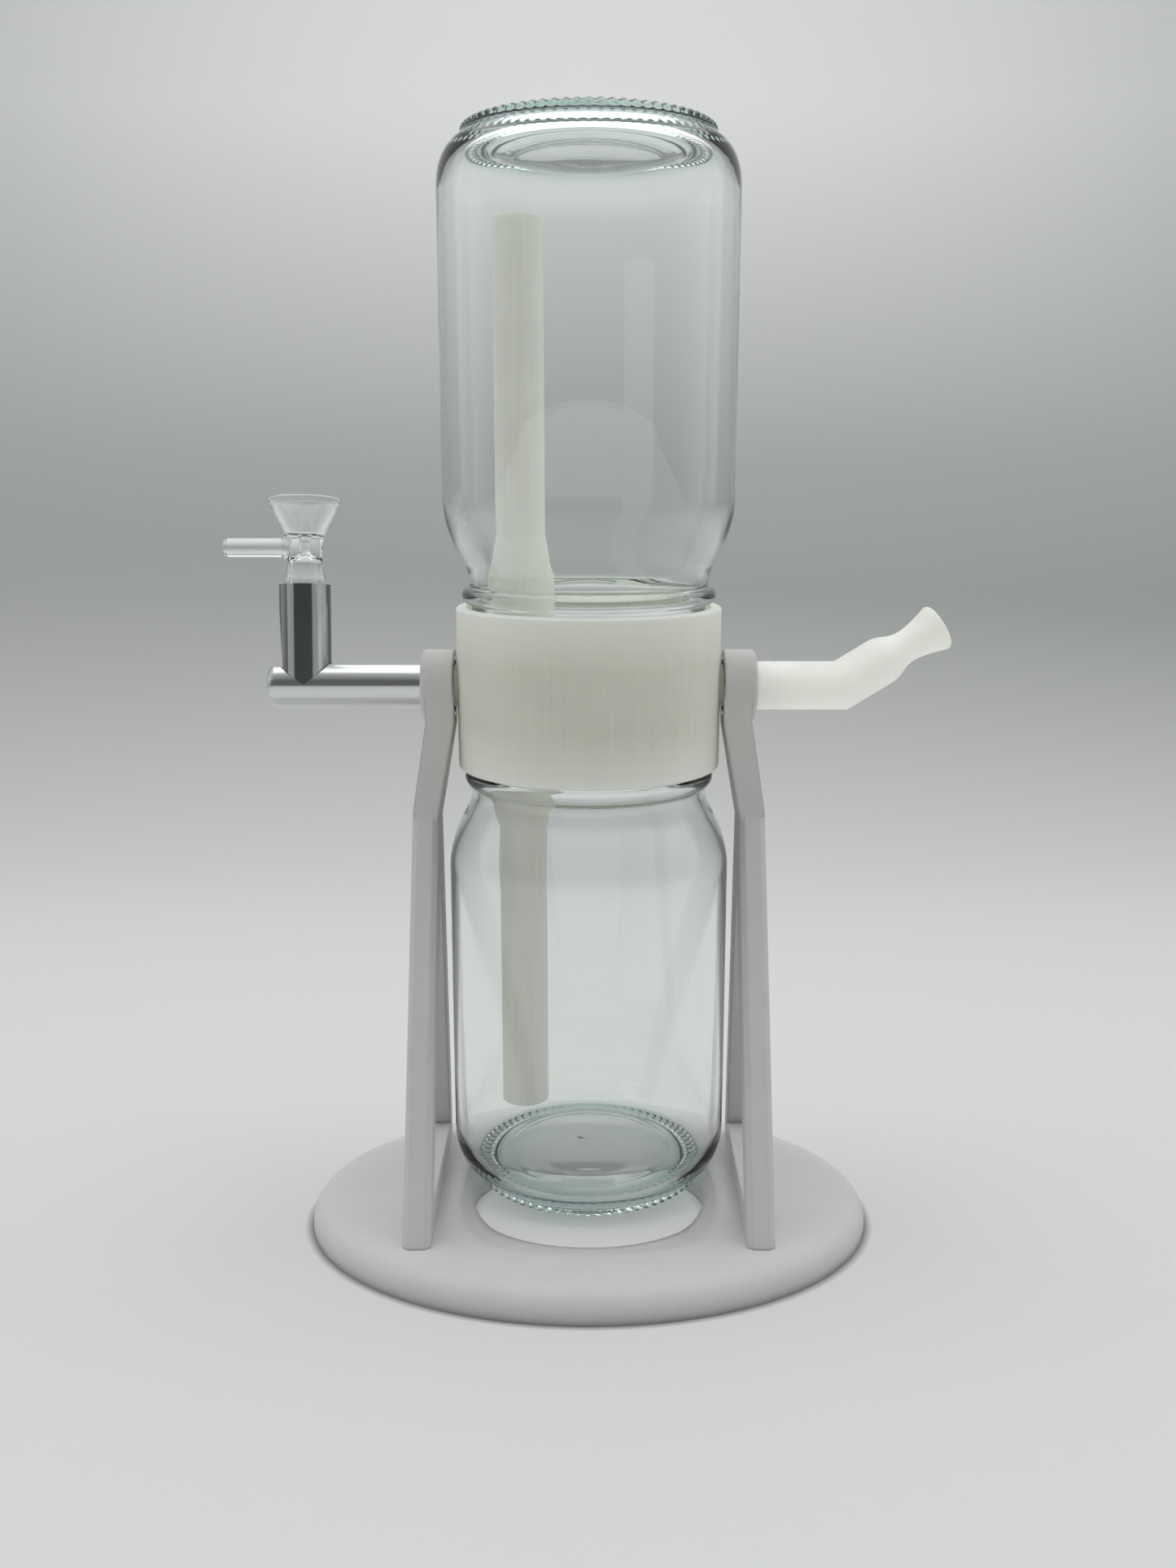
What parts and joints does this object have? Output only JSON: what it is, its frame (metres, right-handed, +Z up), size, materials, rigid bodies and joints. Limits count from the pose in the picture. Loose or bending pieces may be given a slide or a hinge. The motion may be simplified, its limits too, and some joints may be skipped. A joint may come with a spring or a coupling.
{
  "type": "rotating gravity water pipe",
  "caption": "Tabletop water pipe with twin glass jars screwed mouth to mouth into a printed coupling that turns on bearings between A-frame legs, with a glass bowl and a mouthpiece.",
  "frame": {"origin": "on the table, under the middle of the turning axle", "axes": "+X along the axle from the bowl to the mouthpiece, +Z up, -Y towards the viewer"},
  "size_m": [0.2518, 0.192, 0.3694],
  "materials": {
    "white_print": "matte printed plastic, cool white",
    "natural_print": "translucent natural printed plastic, silky, with fine layer lines",
    "jar_glass": "clear moulded glass, faintly green at the edges",
    "bowl_glass": "clear drawn glass",
    "aluminium": "turned, fine circular lines",
    "bearing_steel": "ground steel",
    "cage": "dark moulded plastic",
    "gasket": "soft white seal"
  },
  "bodies": {
    "stand": {"base_plate": "white_print", "left_support": "white_print", "right_support": "white_print", "left_bearing_outer_race": "bearing_steel", "right_bearing_outer_race": "bearing_steel"},
    "left_cage": {"left_bearing_cage": "cage", "left_bearing_balls": "bearing_steel"},
    "right_cage": {"right_bearing_cage": "cage", "right_bearing_balls": "bearing_steel"},
    "rotor": {"coupling_body": "natural_print", "left_bearing_inner_race": "bearing_steel", "right_bearing_inner_race": "bearing_steel", "upper_down_tube": "natural_print", "lower_down_tube": "natural_print", "upper_jar_gasket": "gasket", "lower_jar_gasket": "gasket"},
    "upper_jar": {"upper_jar": "jar_glass"},
    "lower_jar": {"lower_jar": "jar_glass"},
    "inlet": {"inlet_tube": "aluminium", "joint_sleeve": "aluminium", "inlet_valve_spindle": "natural_print"},
    "bowl": {"glass_bowl": "bowl_glass"},
    "outlet": {"mouthpiece": "natural_print", "outlet_valve_spindle": "natural_print"}
  },
  "joints": [
    {"name": "rotor_turn", "type": "hinge", "parent": "stand", "child": "rotor", "pos_m": [0, 0, 0.1856], "axis": [1, 0, 0], "continuous": true},
    {"name": "left_cage_turn", "type": "hinge", "parent": "stand", "child": "left_cage", "pos_m": [0, 0, 0.1856], "axis": [1, 0, 0], "continuous": true},
    {"name": "right_cage_turn", "type": "hinge", "parent": "stand", "child": "right_cage", "pos_m": [0, 0, 0.1856], "axis": [1, 0, 0], "continuous": true},
    {"name": "upper_jar_twist", "type": "hinge", "parent": "rotor", "child": "upper_jar", "pos_m": [0, 0, 0.1856], "axis": [0, -0.1564, 0.9877], "range_deg": [0, 45]},
    {"name": "lower_jar_twist", "type": "hinge", "parent": "rotor", "child": "lower_jar", "pos_m": [0, 0, 0.1856], "axis": [0, 0.1564, -0.9877], "range_deg": [0, 45]},
    {"name": "inlet_turn", "type": "hinge", "parent": "stand", "child": "inlet", "pos_m": [0, 0, 0.1856], "axis": [1, 0, 0], "continuous": true},
    {"name": "outlet_turn", "type": "hinge", "parent": "stand", "child": "outlet", "pos_m": [0, 0, 0.1856], "axis": [1, 0, 0], "continuous": true},
    {"name": "bowl_lift", "type": "slide", "parent": "inlet", "child": "bowl", "axis": [0, 0, 1], "range_m": [0, 0.03]}
  ],
  "couplings": [
    {"joint": "left_cage_turn", "follows": "rotor_turn", "ratio": 0.43},
    {"joint": "right_cage_turn", "follows": "rotor_turn", "ratio": 0.43}
  ]
}
